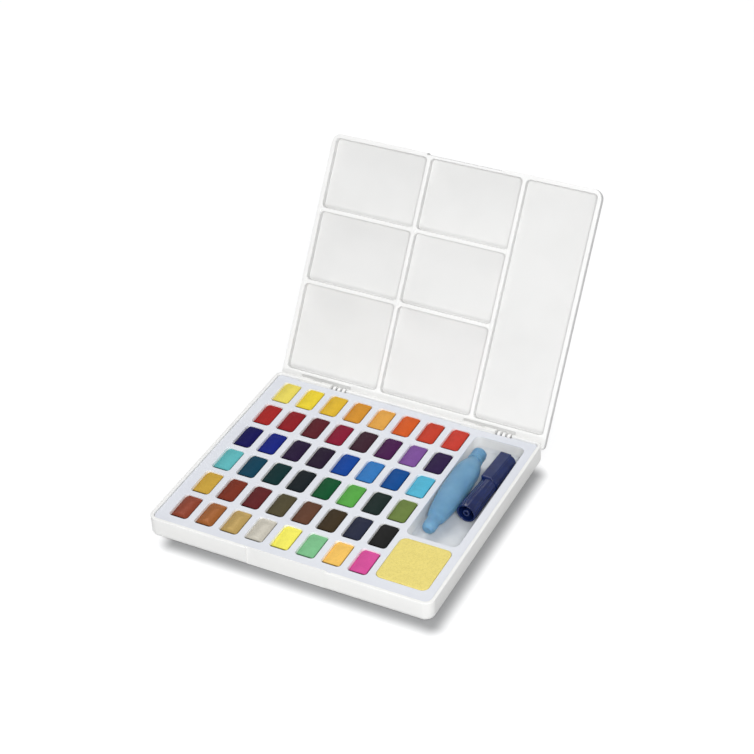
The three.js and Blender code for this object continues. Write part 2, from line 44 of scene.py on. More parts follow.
MM = 0.001
CASE_WIDTH, CASE_DEPTH, CASE_HEIGHT = 180, 156, 13.2
CASE_RIGHT, CASE_BACK = CASE_WIDTH / 2, CASE_DEPTH / 2
CASE_WALL, CASE_FLOOR = 2, 1.6
FRONT_RADIUS, BACK_RADIUS = 6, 4.5
TRAY_TOP, TRAY_BOTTOM, TRAY_PLATE, TRAY_WALL, TRAY_FLOOR = 12.2, 1.75, 1.4, 1, 2.75
COLUMNS, ROWS = 8, 6
COLUMN_PITCH, ROW_PITCH = 16.44, 23.96
GRID_X, GRID_Y = -17.05, 0.35
POCKET_WIDTH, POCKET_DEPTH, POCKET_RADIUS = 12.1, 20.2, 2.2
COMPARTMENT_LEFT, COMPARTMENT_RIGHT, COMPARTMENT_RADIUS = 50.4, 82.4, 4
BRUSH_FRONT, BRUSH_BACK = -28.2, 69.5
SPONGE_FRONT, SPONGE_BACK = -67.7, -31.8
HINGE_Y, HINGE_Z, OPEN_ANGLE = 77.5, 10.25, 123
STATIONS = (-74, 37.5)
LUG_LENGTH, LUG_GAP, TOOTH_WIDTH, TOOTH_PITCH, TEETH = 22, 1.4, 1.8, 3.2, 3
STATION_LENGTH = LUG_LENGTH + LUG_GAP + (TEETH - 1) * TOOTH_PITCH + TOOTH_WIDTH
BARREL_RADIUS, PIN_HOLE = 2.4, 0.96
# The dark slot in each lug, from the lug's left end, and the room for the lid's teeth
LUG_SLOT_START, LUG_SLOT_LENGTH, LUG_SLOT_HEIGHT = 8.2, 6.5, 2.4
TEETH_ROOM_DEPTH, TEETH_ROOM_DROP = 3, 2.7
RECESS_HALF, RECESS_RIM, RECESS_FOOT, RECESS_CORNER = 25, 1.4, 0.8, 0.2
CATCH_X, DIMPLE_HALF, PIP_HALF = 27.2, 1.5, 1.2
DIMPLE_FRONT, DIMPLE_BACK, DIMPLE_FOOT, DIMPLE_TOP = -76.9, -75, 12.4, 14.2
LID_HALF, LID_FRONT, LID_RIM, LID_DEPTH, LID_FLOOR = 89.6, 155.5, 3.1, 6.65, 8.1
LID_SIDE_WALL, LID_FRONT_WALL, LID_BACK, LID_CROWN = 2.5, 2.7, 3, 2.4
ARM_HALF, ARM_RISE = 1.92, 2
# Middles of the lid's ribs, those from front to back and those across, on the lid drawn shut about its hinge
LONG_RIBS, CROSS_RIBS, RIB_HALF, CROSS_RIB_DROP = (-23.1, 40.2), (-61.6, -107.6), 1.1, 0.8
WELL_BACK, WELL_RADIUS, WELL_FILLET = -5.75, 2.6, 0.6
CHANNEL_FRONT, CHANNEL_BACK, CHANNEL_DEPTH = -4.05, 1.3, 1.2
# Free room round the tray and its hinge cut-outs, and under what lies in the tray
FIT, SEAT = 0.3, 0.15
# How far a cutter runs past the surface that it opens
OVERRUN = 1


# Outlines and solids


def plan(left, right, front, back, radii):
    """A rectangle in plan; its corner radii run front left, front right, back right, back left."""
    if not isinstance(radii, (tuple, list)):
        radii = [radii] * 4
    return {"left": left, "right": right, "front": front, "back": back, "radii": list(radii)}


def grown(area, growth):
    return plan(
        area["left"] - growth,
        area["right"] + growth,
        area["front"] - growth,
        area["back"] + growth,
        [max(r + growth, 0.05) for r in area["radii"]],
    )


def ring(area, inset, height, steps=8):
    """The plan's outline at one height, drawn in by inset, anticlockwise seen from above."""
    points = []
    for corner, radius in enumerate(area["radii"]):
        turn = max(radius - inset, radius * 0.08, 0.02)
        x = area["right"] - inset - turn if corner in (1, 2) else area["left"] + inset + turn
        y = area["back"] - inset - turn if corner > 1 else area["front"] + inset + turn
        for step in range(steps + 1):
            angle = (corner + 2 + step / steps) * math.pi / 2
            points.append(Vector((x + turn * math.cos(angle), y + turn * math.sin(angle), height)))
    return points


def quarter(steps):
    """Angles over a quarter turn, both ends included."""
    return [math.pi / 2 * step / steps for step in range(steps + 1)]


def block(area, bottom, top, foot=0, crown=0, steps=8, edge_steps=5):
    """Outlines of a block with rounded lower and upper edges."""
    rings = []
    for a in quarter(edge_steps) if foot else [math.pi / 2]:
        rings.append(ring(area, foot * (1 - math.sin(a)), bottom + foot * (1 - math.cos(a)), steps))
    for a in quarter(edge_steps) if crown else [0]:
        rings.append(ring(area, crown * (1 - math.cos(a)), top - crown * (1 - math.sin(a)), steps))
    return rings


def hollow(area, bottom, top, foot=0, lip=0, steps=8, edge_steps=5, up=1):
    """Outlines of a cutter with a filleted floor and a mouth rounding outwards; up = -1 turns it over."""
    rings = []
    for a in quarter(edge_steps) if foot else [math.pi / 2]:
        rings.append(ring(area, foot * (1 - math.sin(a)), bottom + up * foot * (1 - math.cos(a)), steps))
    for a in quarter(3):
        rings.append(ring(area, -lip * (1 - math.cos(a)), top - up * lip * (1 - math.sin(a)), steps))
    rings.append(ring(area, -lip, top + up * OVERRUN, steps))
    return rings if up > 0 else rings[::-1]


def mesh_of(shapes, name="shape"):
    """One mesh, in metres, of lofts: each a stack of outlines with equal counts of points."""
    bm = bmesh.new()
    for rings in shapes:
        levels = [[bm.verts.new(p * MM) for p in outline] for outline in rings]
        for lower, upper in zip(levels, levels[1:]):
            count = len(lower)
            for i in range(count):
                j = (i + 1) % count
                bm.faces.new((lower[i], lower[j], upper[j], upper[i]))
        bm.faces.new(levels[0][::-1])
        bm.faces.new(levels[-1])
    bmesh.ops.recalc_face_normals(bm, faces=bm.faces)
    made = bpy.data.meshes.new(name)
    bm.to_mesh(made)
    bm.free()
    return made


def box(left, right, front, back, bottom, top, edge=0.0):
    return block(plan(left, right, front, back, max(edge, 0.02)), bottom, top, edge, edge, 2, 2)


def bar_x(radius, left, right, y, z, steps=32, edge=0.0):
    """Outlines of a round bar along X, with its ends rounded by edge."""
    ends = [(left, radius - edge)] + ([(left + edge, radius)] if edge else [])
    ends += ([(right - edge, radius)] if edge else []) + [(right, radius - edge)]
    rings = []
    for x, r in ends:
        angles = [2 * math.pi * step / steps for step in range(steps)]
        rings.append([Vector((x, y + r * math.cos(a), z + r * math.sin(a))) for a in angles])
    return rings


def turned_y(profile, steps=48):
    """Outlines of a turned shape along Y, from (radius, distance) pairs; an oval has a pair as radius."""
    rings = []
    for radius, distance in profile:
        rx, rz = radius if isinstance(radius, tuple) else (radius, radius)
        angles = [2 * math.pi * step / steps for step in range(steps)]
        rings.append([Vector((rx * math.cos(a), distance, rz * math.sin(a))) for a in angles])
    return rings


def carved(base, *operations):
    """A mesh after booleans: each operation is ("UNION" or "DIFFERENCE", shapes)."""
    whole = bpy.data.objects.new("carved", mesh_of(base))
    bpy.context.scene.collection.objects.link(whole)
    for operation, shapes in operations:
        tool = bpy.data.objects.new("tool", mesh_of(shapes))
        bpy.context.scene.collection.objects.link(tool)
        modifier = whole.modifiers.new("cut", "BOOLEAN")
        modifier.operation, modifier.object, modifier.solver = operation, tool, "EXACT"
        depsgraph = bpy.context.evaluated_depsgraph_get()
        result = bpy.data.meshes.new_from_object(whole.evaluated_get(depsgraph))
        whole.modifiers.clear()
        whole.data = result
        bpy.data.objects.remove(tool)
    result = whole.data
    bpy.data.objects.remove(whole)
    return result


def piece(name, mesh, material, body, node, sharp=32, place=None, weighted=True):
    """A finished piece: smooth shading with sharp creases, on its body, in place of its CAD node."""
    obj = bpy.data.objects.new(name, mesh)
    bpy.context.scene.collection.objects.link(obj)
    if place is not None:
        mesh.transform(place)
    mesh.materials.clear()
    mesh.materials.append(material)
    mesh.shade_smooth()
    mesh.set_sharp_from_angle(angle=math.radians(sharp))
    if weighted:
        modifier = obj.modifiers.new("even shading", "WEIGHTED_NORMAL")
        modifier.keep_sharp = True
        modifier.weight = 100
    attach(obj, body)
    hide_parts(node)
    return obj


# Materials


def linear(colour):
    """A colour written as #rrggbb, in linear light."""
    parts = [int(colour[i : i + 2], 16) / 255 for i in (1, 3, 5)]
    return (*[c / 12.92 if c <= 0.04045 else ((c + 0.055) / 1.055) ** 2.4 for c in parts], 1)


class Finish:
    """A node material; what is linked into its colour, roughness and bump varies at the real scale."""

    def __init__(self, name, **sockets):
        self.material = bpy.data.materials.new(name)
        self.material.use_nodes = True
        self.nodes = self.material.node_tree.nodes
        self.links = self.material.node_tree.links
        self.shader = self.nodes["Principled BSDF"]
        for socket, value in sockets.items():
            self.shader.inputs[socket].default_value = value
        self.place = self.nodes.new("ShaderNodeTexCoord").outputs["Object"]
        self.height = None

    def noise(self, size, detail=2.0, stretch=None, distortion=0.0):
        """Noise whose features are about size millimetres across."""
        texture = self.nodes.new("ShaderNodeTexNoise")
        texture.inputs["Scale"].default_value = 1 / (size * MM)
        texture.inputs["Detail"].default_value = detail
        texture.inputs["Distortion"].default_value = distortion
        self.links.new(self._stretched(stretch), texture.inputs["Vector"])
        return texture.outputs["Fac"]

    def cells(self, size, output="Distance"):
        """Cells about size millimetres across: the distance to each one's middle, or a colour for each."""
        texture = self.nodes.new("ShaderNodeTexVoronoi")
        texture.inputs["Scale"].default_value = 1 / (size * MM)
        self.links.new(self.place, texture.inputs["Vector"])
        return texture.outputs[output]

    def _stretched(self, stretch):
        if stretch is None:
            return self.place
        mapping = self.nodes.new("ShaderNodeMapping")
        mapping.inputs["Scale"].default_value = stretch
        self.links.new(self.place, mapping.inputs["Vector"])
        return mapping.outputs["Vector"]

    def ramp(self, source, low, high, start=0.3, end=0.7):
        """Maps a value between start and end onto colours or numbers from low to high."""
        node = self.nodes.new("ShaderNodeValToRGB")
        first, last = node.color_ramp.elements
        first.position, last.position = start, end
        first.color = low if isinstance(low, tuple) else (low, low, low, 1)
        last.color = high if isinstance(high, tuple) else (high, high, high, 1)
        self.links.new(source, node.inputs["Fac"])
        return node.outputs["Color"]

    def blend(self, kind, first, second, share=1.0):
        node = self.nodes.new("ShaderNodeMix")
        node.data_type, node.blend_type = "RGBA", kind
        if isinstance(share, float):
            node.inputs["Factor"].default_value = share
        else:
            self.links.new(share, node.inputs["Factor"])
        self.links.new(first, node.inputs["A"])
        self.links.new(second, node.inputs["B"])
        return node.outputs["Result"]

    def level(self, axis, low, high):
        """Rises from 0 to 1 as the place along axis goes from low to high millimetres."""
        along = self.nodes.new("ShaderNodeVectorMath")
        along.operation = "DOT_PRODUCT"
        along.inputs[1].default_value = axis
        self.links.new(self.place, along.inputs[0])
        rise = self.nodes.new("ShaderNodeMapRange")
        rise.inputs["From Min"].default_value = low * MM
        rise.inputs["From Max"].default_value = high * MM
        self.links.new(along.outputs["Value"], rise.inputs["Value"])
        return rise.outputs["Result"]

    def colour(self, source):
        self.links.new(source, self.shader.inputs["Base Color"])

    def roughness(self, source, low, high):
        self.links.new(self.ramp(source, low, high), self.shader.inputs["Roughness"])

    def bump(self, source, depth, strength=1.0):
        """Raises the surface by up to depth millimetres along source."""
        node = self.nodes.new("ShaderNodeBump")
        node.inputs["Strength"].default_value = strength
        node.inputs["Distance"].default_value = depth * MM
        self.links.new(source, node.inputs["Height"])
        if self.height is not None:
            self.links.new(self.height, node.inputs["Normal"])
        self.height = node.outputs["Normal"]
        self.links.new(self.height, self.shader.inputs["Normal"])


def skin(finish, low, high, grain):
    """The surface of moulded plastic: a slow unevenness in the gloss and a fine skin."""
    finish.roughness(finish.noise(7, 3), low, high)
    finish.bump(finish.noise(0.9, 2), grain)
    finish.bump(finish.noise(18, 1), grain * 3)
    return finish.material


def navy_finish():
    """Glossy moulded plastic with faint flow marks in its colour."""
    finish = Finish("navy plastic")
    finish.colour(finish.ramp(finish.noise(8, 2), linear("#0f1b49"), linear("#14265d"), 0.25, 0.6))
    return skin(finish, 0.12, 0.22, 0.003)


def glowing(name, weight, reach):
    """A finish for milky plastic, through which light spreads over reach millimetres."""
    finish = Finish(name, **{"Subsurface Weight": weight, "Subsurface Scale": 1.0})
    finish.shader.inputs["Subsurface Radius"].default_value = (reach * MM,) * 3
    return finish


# Painted shade: how the dark line at a cake's front and right edge leans with height, and where it ends, in
# millimetres
FRONT_LEAN, FRONT_SHADE_LINE_END = 1.07, 1.0
RIGHT_LEAN, RIGHT_SHADE_LINE_END = 0.51, 0.8
SHADE_LINE_START, SHADE_LINE_TONE = 0.15, 0.14


def paint(name, colour, area, metallic=False):
    """A dry cake of pressed paint: pigment clouds, fine grain and a soft sheen; flakes if metallic.

    A dark line is painted along the pocket's front and right edges, as their lips shade it in the
    photographed view. It is part of the colour, so it stays in any other view and light.
    """
    gloss, metal = (0.2, 0.15) if metallic else (0.05, 0.0)
    finish = Finish(name, **{"Specular IOR Level": gloss, "Metallic": metal})
    deep = tuple(c * 0.93 for c in colour[:3]) + (1,)
    clouds = finish.ramp(finish.noise(5, 3, distortion=0.6), deep, colour, 0.3, 0.55)
    light = tuple(min(1, c * 1.2 + 0.006) for c in colour[:3]) + (1,)
    dust = finish.ramp(finish.noise(0.45, 2), 0.9, 1.0, 0.3, 0.6)
    tone = finish.blend("MULTIPLY", clouds, dust)
    if metallic:
        flakes = finish.ramp(finish.cells(0.35, output="Color"), colour, light, 0.35, 0.75)
        tone = finish.blend("MIX", tone, flakes, 0.45)
        finish.bump(finish.cells(0.35), 0.02, 0.8)
    # Painted shade: the colour darkens along the pocket's front and right lips
    front = area["front"] + FRONT_LEAN * TRAY_TOP
    right = RIGHT_LEAN * TRAY_TOP - area["right"]
    shades = (
        finish.level((0, 1, FRONT_LEAN), front + SHADE_LINE_START, front + FRONT_SHADE_LINE_END),
        finish.level((-1, 0, RIGHT_LEAN), right + SHADE_LINE_START, right + RIGHT_SHADE_LINE_END),
    )
    for shade in shades:
        tone = finish.blend("MULTIPLY", tone, finish.ramp(shade, SHADE_LINE_TONE, 1.0, 0.0, 1.0))
    finish.colour(tone)
    finish.roughness(finish.noise(3, 2), 0.34 if metallic else 0.42, 0.46 if metallic else 0.6)
    finish.bump(finish.noise(0.35, 3), 0.012)
    finish.bump(finish.noise(3.2, 2), 0.1)
    return finish.material


def sponge_finish():
    finish = Finish("sponge foam", **{"Roughness": 0.95, "Specular IOR Level": 0.15})
    cells = finish.cells(0.9)
    # Painted shade: the foam's colour darkens towards each cell's middle, where its bump sinks into a pore
    pore_shade = finish.ramp(cells, linear("#e3d273"), linear("#eedd83"), 0.1, 0.45)
    grain = finish.ramp(finish.noise(1.2, 3), 0.93, 1.0, 0.35, 0.6)
    finish.colour(finish.blend("MULTIPLY", pore_shade, grain))
    finish.bump(finish.ramp(cells, 0.0, 1.0, 0.05, 0.45), 0.12, 0.6)
    finish.bump(finish.noise(1.6, 4), 0.12, 0.6)
    return finish.material


def tank_finish():
    finish = Finish(
        "blue squeeze plastic",
        **{"IOR": 1.45, "Transmission Weight": 0.3, "Specular IOR Level": 0.3, "Subsurface Weight": 0.5},
    )
    finish.shader.inputs["Subsurface Radius"].default_value = (0.002, 0.003, 0.005)
    finish.shader.inputs["Subsurface Scale"].default_value = 1.0
    finish.colour(finish.ramp(finish.noise(9, 2), linear("#74a8cd"), linear("#85b8da"), 0.3, 0.7))
    finish.roughness(finish.noise(4, 2), 0.42, 0.55)
    finish.bump(finish.noise(1.6, 3, stretch=(1, 2.2, 1)), 0.07, 0.7)
    return finish.material


def steel_finish():
    finish = Finish("hinge steel", Metallic=1.0)
    finish.colour(finish.ramp(finish.noise(0.6, 2), linear("#a9abad"), linear("#c9cbcd")))
    finish.roughness(finish.noise(0.4, 2, stretch=(0.05, 1, 1)), 0.22, 0.4)
    finish.bump(finish.noise(0.15, 2, stretch=(0.02, 1, 1)), 0.004)
    return finish.material


def bristle_finish():
    finish = Finish("bristle nylon", **{"Specular IOR Level": 0.6})
    strands_and_groove_shade = finish.noise(0.18, 1, stretch=(1, 0.03, 1))
    # The strands' colour follows their bump: darker in the grooves, partly painted shade between the hairs
    # and partly their own uneven tone
    finish.colour(finish.ramp(strands_and_groove_shade, linear("#cfc6ae"), linear("#f2ecdc"), 0.35, 0.6))
    finish.roughness(finish.noise(0.5, 2), 0.35, 0.5)
    finish.bump(strands_and_groove_shade, 0.08, 0.8)
    return finish.material


def tray_finish():
    """Cool grey plate; painted light makes the hollows' walls whiter than it, and painted shade makes their
    floors greyer.
    """
    finish = glowing("tray plastic", 0.12, 2)
    plate = finish.ramp(finish.noise(26, 2), linear("#dde0e9"), linear("#e2e5ec"), 0.25, 0.6)
    # Painted light: the hollows' walls are whiter than the plate; painted shade: their floors are greyer
    painted_light_walls = finish.ramp(finish.noise(9, 3), linear("#f6f6f4"), linear("#fbfbfa"), 0.3, 0.6)
    floor = finish.ramp(finish.noise(14, 3), linear("#cfd3d8"), linear("#dbdee1"), 0.3, 0.6)
    above_floor = finish.level((0, 0, 1), TRAY_FLOOR + 0.4, TRAY_FLOOR + 3)
    hollow_light_and_shade = finish.blend("MIX", floor, painted_light_walls, above_floor)
    on_plate = finish.level((0, 0, 1), TRAY_TOP - 0.8, TRAY_TOP - 0.2)
    finish.colour(finish.blend("MIX", hollow_light_and_shade, plate, on_plate))
    return skin(finish, 0.36, 0.46, 0.004)


def white_finish():
    finish = glowing("white plastic", 0.15, 2)
    finish.colour(finish.ramp(finish.noise(26, 2), linear("#efefee"), linear("#f4f4f2"), 0.25, 0.6))
    return skin(finish, 0.3, 0.38, 0.004)


def lid_finish():
    """The case's white, with painted shade making it a shade greyer on the floors of the wells and greyer
    still on their walls.
    """
    finish = glowing("lid white plastic", 0.15, 2)
    inward = Matrix.Rotation(-math.radians(OPEN_ANGLE), 3, "X") @ Vector((0, 0, 1))
    rim = inward.dot(Vector((0, HINGE_Y, HINGE_Z))) + LID_RIM
    rims = finish.ramp(finish.noise(26, 2), linear("#f3f3f2"), linear("#f7f7f6"), 0.25, 0.6)
    # Painted shade: the wells' floors, and more so their walls, are greyer than the rims
    floors = finish.ramp(finish.noise(30, 2), linear("#e8e8e7"), linear("#ebebea"), 0.3, 0.6)
    walls = finish.ramp(finish.noise(30, 2), linear("#d6d6d5"), linear("#dcdcdb"), 0.3, 0.6)
    tone = finish.blend("MIX", rims, walls, finish.level(inward, rim + 0.9, rim + 1.3))
    finish.colour(finish.blend("MIX", tone, floors, finish.level(inward, rim + 4.2, rim + 4.9)))
    return skin(finish, 0.32, 0.4, 0.004)


white = white_finish()
tray_grey = tray_finish()
lid_white = lid_finish()
navy = navy_finish()
tank_blue = tank_finish()

# The paints, along each row from the left, and the rows from the back.
PAINTS = {
    "lemon": "#eedd66",
    "sun yellow": "#efd63e",
    "maize": "#e3ba3a",
    "indian yellow": "#d89536",
    "apricot": "#e5a850",
    "orange": "#d7602c",
    "scarlet": "#c74432",
    "vermilion": "#cc4438",
    "carmine": "#aa2c2a",
    "crimson": "#93242a",
    "madder": "#5f242c",
    "alizarin": "#8a2038",
    "plum": "#422834",
    "aubergine": "#4c2250",
    "lilac": "#82569e",
    "violet": "#34244a",
    "indigo": "#1a1858",
    "ultramarine": "#1c2882",
    "midnight": "#2c1e3c",
    "ink": "#2c2034",
    "cobalt": "#1a489c",
    "azure": "#3a7cc0",
    "phthalo blue": "#195096",
    "sky blue": "#5abad8",
    "turquoise": "#64babe",
    "petrol": "#16445a",
    "pine": "#153436",
    "black green": "#1e2529",
    "viridian": "#185632",
    "leaf green": "#5cab4c",
    "moss black": "#23302e",
    "olive": "#708446",
    "ochre": "#cda644",
    "sienna": "#7e3626",
    "red brown": "#64282a",
    "umber": "#554e38",
    "walnut": "#664434",
    "sepia": "#423626",
    "slate": "#2e3246",
    "black": "#262626",
    "copper": "#8c402a",
    "bronze": "#9e5e2c",
    "gold": "#ba9c5c",
    "pearl": "#c9c4b7",
    "neon yellow": "#fcf46a",
    "neon green": "#84c692",
    "neon orange": "#fbca68",
    "neon pink": "#dc579f",
}
METALLIC = ("copper", "bronze", "gold", "pearl")


# Case base


def hinge_lugs():
    """The hinge's barrels, and the blocks that join them to the case."""
    barrels, blocks = [], []
    for start in STATIONS:
        end = start + LUG_LENGTH
        barrels.append(bar_x(BARREL_RADIUS, start, end, HINGE_Y, HINGE_Z, edge=0.25))
        blocks.append(box(start, end, CASE_BACK - 2, CASE_BACK + 0.8, HINGE_Z, CASE_HEIGHT - 0.2, 0.25))
    return barrels, blocks


def hinge_cuts():
    """Cutters of the pin holes, and of the rooms: for the lid's teeth, then the slots in the lugs."""
    holes, rooms, slots = [], [], []
    top = CASE_HEIGHT + OVERRUN
    for start in STATIONS:
        left, right = start + LUG_LENGTH, start + STATION_LENGTH + LUG_GAP
        slot = start + LUG_SLOT_START
        front, foot = CASE_BACK - TEETH_ROOM_DEPTH, HINGE_Z - TEETH_ROOM_DROP
        rooms.append(box(left, right, front, CASE_BACK + OVERRUN, foot, top))
        slot_end, slot_foot = slot + LUG_SLOT_LENGTH, CASE_HEIGHT - LUG_SLOT_HEIGHT
        slots.append(box(slot, slot_end, CASE_BACK - 0.6, CASE_BACK + 0.4, slot_foot, top))
        holes.append(bar_x(PIN_HOLE, start - OVERRUN, left + OVERRUN, HINGE_Y, HINGE_Z))
    return holes, rooms + slots


def recess(rim, foot, front):
    """The finger recess: a wedge, deepest at the rim and shallow at the foot."""
    deep = {rim: RECESS_RIM, foot: RECESS_FOOT}
    half, corner = RECESS_HALF, RECESS_CORNER
    rings = []
    for z in sorted((rim, foot)):
        depth = front + deep[z]
        outline = [(-half, front - OVERRUN), (half, front - OVERRUN), (half, depth - corner)]
        outline += [(half - corner, depth), (corner - half, depth), (-half, depth - corner)]
        rings.append([Vector((x, y, z)) for x, y in outline])
    return rings


def base_shell():
    radii = (FRONT_RADIUS, FRONT_RADIUS, BACK_RADIUS, BACK_RADIUS)
    outer = plan(-CASE_RIGHT, CASE_RIGHT, -CASE_BACK, CASE_BACK, radii)
    inner = grown(outer, -CASE_WALL)
    barrels, blocks = hinge_lugs()
    holes, rooms = hinge_cuts()
    left, right = CATCH_X - DIMPLE_HALF, CATCH_X + DIMPLE_HALF
    dimple = box(left, right, DIMPLE_FRONT, DIMPLE_BACK, DIMPLE_FOOT, DIMPLE_TOP)
    # The holes and the rooms overlap, and one cut with both would leave the teeth's room uncut
    return carved(
        [block(outer, 0, CASE_HEIGHT, foot=3, crown=0.45, steps=12, edge_steps=6)],
        ("DIFFERENCE", [hollow(inner, CASE_FLOOR, CASE_HEIGHT, foot=1, lip=0.3, steps=12, edge_steps=3)]),
        ("UNION", barrels),
        ("UNION", blocks),
        ("DIFFERENCE", holes),
        ("DIFFERENCE", rooms),
        ("DIFFERENCE", [recess(CASE_HEIGHT + OVERRUN, -OVERRUN, -CASE_BACK), dimple]),
    )


piece("case_base", base_shell(), white, "base", "base_shell")


# Colour tray


def cake_places():
    for row in range(ROWS):
        for column in range(COLUMNS):
            x = GRID_X + (column - (COLUMNS - 1) / 2) * COLUMN_PITCH
            y = GRID_Y - (row - (ROWS - 1) / 2) * ROW_PITCH
            yield f"r{row + 1}c{column + 1}", x, y


def pocket_plan(x, y):
    half_width, half_depth = POCKET_WIDTH / 2, POCKET_DEPTH / 2
    return plan(x - half_width, x + half_width, y - half_depth, y + half_depth, POCKET_RADIUS)


def compartment_plan(front, back):
    return plan(COMPARTMENT_LEFT, COMPARTMENT_RIGHT, front, back, COMPARTMENT_RADIUS)


def tray():
    gap = CASE_WALL + FIT
    radii = (FRONT_RADIUS - gap, FRONT_RADIUS - gap, BACK_RADIUS - gap, BACK_RADIUS - gap)
    plate = plan(-CASE_RIGHT + gap, CASE_RIGHT - gap, -CASE_BACK + gap, CASE_BACK - gap, radii)
    pockets = [pocket_plan(x, y) for _, x, y in cake_places()]
    rooms = [compartment_plan(BRUSH_FRONT, BRUSH_BACK), compartment_plan(SPONGE_FRONT, SPONGE_BACK)]
    # The walls of the pockets and rooms run up into the plate and end in its middle
    middle = TRAY_TOP - TRAY_PLATE / 2
    walls = [block(grown(area, TRAY_WALL), TRAY_BOTTOM, middle, steps=4) for area in pockets + rooms]
    cuts = [hollow(area, TRAY_FLOOR, TRAY_TOP, lip=0.28, steps=6) for area in pockets]
    cuts += [hollow(area, TRAY_FLOOR, TRAY_TOP, foot=1.6, lip=0.45, steps=8) for area in rooms]
    front = HINGE_Y - BARREL_RADIUS - FIT
    for start in STATIONS:
        end = start + STATION_LENGTH + LUG_GAP
        cuts.append(box(start - FIT, end, front, CASE_BACK, TRAY_BOTTOM, TRAY_TOP + OVERRUN))
    return carved(
        [block(plate, TRAY_TOP - TRAY_PLATE, TRAY_TOP, crown=0.25, steps=8, edge_steps=3)],
        ("UNION", walls),
        ("DIFFERENCE", cuts),
    )


piece("tray", tray(), tray_grey, "base", "colour_tray")


# Paint cakes

CAKE_SIDE_DROP, CAKE_RISE, CAKE_GAP, CAKE_FOOT, CAKE_LEAST = 1.9, 2.0, 0.1, 0.4, 2.5
# How far, and over what width, a cake is turned down at its right edge and at its front
RIGHT_FALL, RIGHT_FALL_WIDTH, FRONT_FALL, FRONT_FALL_WIDTH, FALL_CURVE = 0.5, 1.2, 1.8, 3, 1.6
CAKE_SWAY, CAKE_SWAY_RATE = 0.12, 0.16
CAKE_INSETS = (0, 0.08, 0.18, 0.32, 0.5, 0.75, 1.1, 1.6, 2.2, 3, 3.9, 4.8, 5.7)
# Cakes poured lower or flatter than the rest: extra drop, and share of the usual rise.
CAKE_FILLS = {
    "r1c5": (0.1, 0.8),
    "r2c1": (0.1, 0.85),
    "r5c1": (0.1, 0.8),
    "r6c4": (0.0, 0.8),
    "r6c5": (0.0, 0.75),
    "r6c6": (0.0, 0.75),
    "r6c7": (0.0, 0.8),
    "r6c8": (0.1, 0.8),
}


def cake(key, x, y):
    """A poured cake, arched from side to side and turned down a little at its front and its right edge."""
    drop, crown = CAKE_FILLS.get(key, (0, 1))
    area = grown(pocket_plan(x, y), -CAKE_GAP)
    half = POCKET_WIDTH / 2 - CAKE_GAP
    side = TRAY_TOP - CAKE_SIDE_DROP - drop
    foot = TRAY_FLOOR + SEAT
    rings = [ring(area, CAKE_FOOT, foot, 6), ring(area, 0, foot + CAKE_FOOT, 6)]
    for inset in CAKE_INSETS:
        outline = ring(area, inset, 0, 6)
        for point in outline:
            arch = 1 - ((point.x - x) / half) ** 2
            near_right = max(0, 1 - (area["right"] - point.x) / RIGHT_FALL_WIDTH)
            near_front = max(0, 1 - (point.y - area["front"]) / FRONT_FALL_WIDTH)
            fall = RIGHT_FALL * near_right**FALL_CURVE + FRONT_FALL * near_front**FALL_CURVE
            spot = Vector((point.x * CAKE_SWAY_RATE, point.y * CAKE_SWAY_RATE, x))
            sway = noise.noise(spot) * CAKE_SWAY * min(1, inset)
            point.z = max(side + CAKE_RISE * crown * arch - fall + sway, TRAY_FLOOR + CAKE_LEAST)
        rings.append(outline)
    return mesh_of([rings], f"cake_{key}")


for (key, cake_x, cake_y), (paint_name, tone) in zip(cake_places(), PAINTS.items()):
    pocket = pocket_plan(cake_x, cake_y)
    finish = paint(f"paint {paint_name}", linear(tone), pocket, paint_name in METALLIC)
    mesh = cake(key, cake_x, cake_y)
    piece(f"cake_{key}", mesh, finish, "base", f"paint_{key}", sharp=70, weighted=False)


# Sponge


SPONGE_GAP, SPONGE_RISE, SPONGE_FOOT, SPONGE_EDGE = 0.08, 0.3, 1.6, 0.7
SPONGE_INSETS = (1.4, 2.4, 4, 6, 8.5, 11, 13.5, 15.5)
# The sponge's unevenness: how fast each wave runs, and how high
SPONGE_WAVES = ((0.16, 0.22), (0.6, 0.09))


def sponge():
    """A foam block cut a little out of true, its faces slightly pillowed."""
    area = grown(compartment_plan(SPONGE_FRONT, SPONGE_BACK), -SPONGE_GAP)
    foot, top = TRAY_FLOOR + SEAT, TRAY_TOP + SPONGE_RISE
    low, high = foot + SPONGE_FOOT, top - SPONGE_EDGE
    rings = []
    for a in quarter(4):
        rings.append(ring(area, SPONGE_FOOT * (1 - math.sin(a)), foot + SPONGE_FOOT * (1 - math.cos(a)), 6))
    for share in (0.25, 0.5, 0.75):
        rings.append(ring(area, 0, low + (high - low) * share, 6))
    for a in quarter(5):
        rings.append(ring(area, SPONGE_EDGE * (1 - math.cos(a)), top - SPONGE_EDGE * (1 - math.sin(a)), 6))
    for inset in SPONGE_INSETS:
        rings.append(ring(area, inset, top, 6))
    mesh = mesh_of([rings], "sponge_block")
    bm = bmesh.new()
    bm.from_mesh(mesh)
    long_edges = [e for e in bm.edges if e.calc_length() > 2.5 * MM]
    bmesh.ops.subdivide_edges(bm, edges=long_edges, cuts=7, use_grid_fill=True)
    bm.normal_update()
    for vertex in bm.verts:
        spot = vertex.co / MM
        depth = min(1, max(0, (spot.z - TRAY_FLOOR - 2) / 3))
        coarse = sum(noise.noise(spot * rate) * height for rate, height in SPONGE_WAVES)
        inward = min(0.0, coarse * depth - 0.08)
        vertex.co += vertex.normal * inward * MM
    bm.to_mesh(mesh)
    bm.free()
    return mesh


foam = sponge_finish()
sponge_piece = piece(
    "foam_sponge",
    sponge(),
    foam,
    "sponge",
    "sponge",
    sharp=80,
    weighted=False,
)


# Water tank

